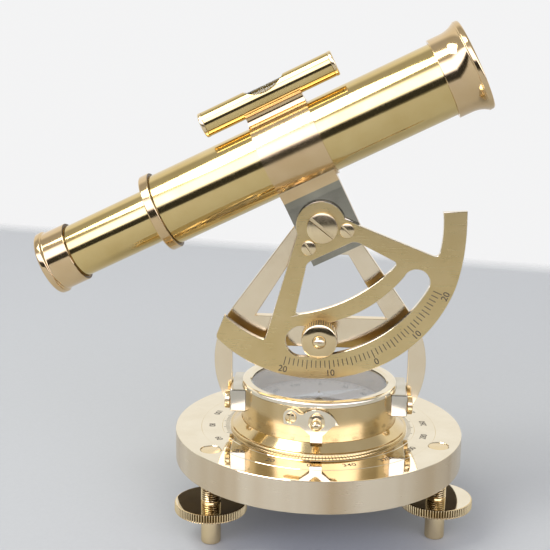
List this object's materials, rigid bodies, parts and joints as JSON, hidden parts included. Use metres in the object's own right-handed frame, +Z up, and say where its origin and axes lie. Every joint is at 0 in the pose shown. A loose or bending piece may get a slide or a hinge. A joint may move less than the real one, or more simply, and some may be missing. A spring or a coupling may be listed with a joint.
{
  "type": "theodolite",
  "caption": "Small brass theodolite: telescope with spirit level and elevation sector on an A-frame over a compass, on a round base with levelling screws.",
  "frame": {"origin": "on the azimuth axis, at the underside of the base plate", "axes": "+Z up along the azimuth axis, +X towards the objective end at rest, -Y towards the side with the elevation sector"},
  "size_m": [0.1539, 0.1057, 0.172],
  "materials": {
    "brass_polished": "polished, lacquered",
    "brass_satin": "satin",
    "brass_turned": "turned",
    "brass_dark": "dull",
    "clear_glass": "clear",
    "vial_glass": "clear, filled",
    "compass_card": "printed card",
    "needle_steel": "satin"
  },
  "bodies": {
    "base": {"base_plate": "brass_polished", "azimuth_pivot": "brass_dark", "azimuth_nut": "brass_dark"},
    "stud_1": {"levelling_stud_1": "brass_turned"},
    "stud_2": {"levelling_stud_2": "brass_turned"},
    "stud_3": {"levelling_stud_3": "brass_turned"},
    "disc_1": {"levelling_knob_1": "brass_polished"},
    "disc_2": {"levelling_knob_2": "brass_polished"},
    "disc_3": {"levelling_knob_3": "brass_polished"},
    "turntable": {"turntable_ring": "brass_satin", "compass_housing": "brass_satin", "compass_bezel": "brass_polished", "compass_glass": "clear_glass", "compass_dial": "compass_card", "needle_pivot": "brass_dark", "lug_left": "brass_polished", "lug_right": "brass_polished", "lug_screw_left_front": "brass_turned", "lug_screw_left_rear": "brass_turned", "lug_screw_right_front": "brass_turned", "lug_screw_right_rear": "brass_turned", "latch_plate": "brass_satin", "latch_screw": "brass_turned", "support_frame": "brass_satin", "pivot_screw": "brass_turned", "pivot_nut": "brass_turned", "clamp_stud": "brass_turned", "clamp_bush": "brass_turned"},
    "needle": {"compass_needle": "needle_steel"},
    "needle_lock": {"latch_knob": "brass_turned"},
    "clamp": {"clamp_knob": "brass_turned"},
    "telescope": {"sector_plate": "brass_satin", "sector_screw_left": "brass_turned", "sector_screw_right": "brass_turned", "telescope_bracket": "brass_polished", "main_tube": "brass_polished", "tube_collar": "brass_polished", "objective_hood": "brass_polished", "objective_lens": "clear_glass", "objective_ring": "brass_dark", "level_tube": "brass_polished", "level_cap_left": "brass_polished", "level_cap_right": "brass_polished", "level_vial": "vial_glass"},
    "eyepiece": {"draw_tube": "brass_polished", "eyepiece_cap": "brass_polished", "eyepiece_lens": "clear_glass"}
  },
  "joints": [
    {"name": "azimuth_turn", "type": "hinge", "parent": "base", "child": "turntable", "pos_m": [0, 0, 0.011], "axis": [0, 0, 1], "continuous": true},
    {"name": "telescope_elevation", "type": "hinge", "parent": "turntable", "child": "telescope", "pos_m": [0, 0, 0.083], "axis": [0, -1, 0], "range_deg": [-63, 10.5]},
    {"name": "eyepiece_draw", "type": "slide", "parent": "telescope", "child": "eyepiece", "axis": [0.8969, 0, 0.4423], "range_m": [-0.008, 0.028]},
    {"name": "clamp_turn", "type": "hinge", "parent": "turntable", "child": "clamp", "pos_m": [0, -0.013, 0.046], "axis": [0, -1, 0], "range_deg": [0, 720]},
    {"name": "needle_lock_turn", "type": "hinge", "parent": "turntable", "child": "needle_lock", "pos_m": [0, -0.03, 0.0224], "axis": [0, -1, 0], "range_deg": [0, 360]},
    {"name": "needle_turn", "type": "hinge", "parent": "turntable", "child": "needle", "pos_m": [0, 0, 0.0215], "axis": [0, 0, 1], "continuous": true},
    {"name": "stud_rise_1", "type": "slide", "parent": "base", "child": "stud_1", "axis": [0, 0, 1], "range_m": [-0.0034, 0.0034]},
    {"name": "stud_rise_2", "type": "slide", "parent": "base", "child": "stud_2", "axis": [0, 0, 1], "range_m": [-0.0034, 0.0034]},
    {"name": "stud_rise_3", "type": "slide", "parent": "base", "child": "stud_3", "axis": [0, 0, 1], "range_m": [-0.0034, 0.0034]},
    {"name": "disc_turn_1", "type": "hinge", "parent": "stud_1", "child": "disc_1", "pos_m": [-0.03467, -0.02709, -0.0086], "axis": [0, 0, 1], "range_deg": [-1080, 1080]},
    {"name": "disc_turn_2", "type": "hinge", "parent": "stud_2", "child": "disc_2", "pos_m": [0.0408, -0.01648, -0.0086], "axis": [0, 0, 1], "range_deg": [-1080, 1080]},
    {"name": "disc_turn_3", "type": "hinge", "parent": "stud_3", "child": "disc_3", "pos_m": [-0.00612, 0.04357, -0.0086], "axis": [0, 0, 1], "range_deg": [-1080, 1080]}
  ],
  "couplings": [
    {"joint": "stud_rise_1", "follows": "disc_turn_1", "m_per_rad": 0.000159},
    {"joint": "stud_rise_2", "follows": "disc_turn_2", "m_per_rad": 0.000159},
    {"joint": "stud_rise_3", "follows": "disc_turn_3", "m_per_rad": 0.000159}
  ]
}
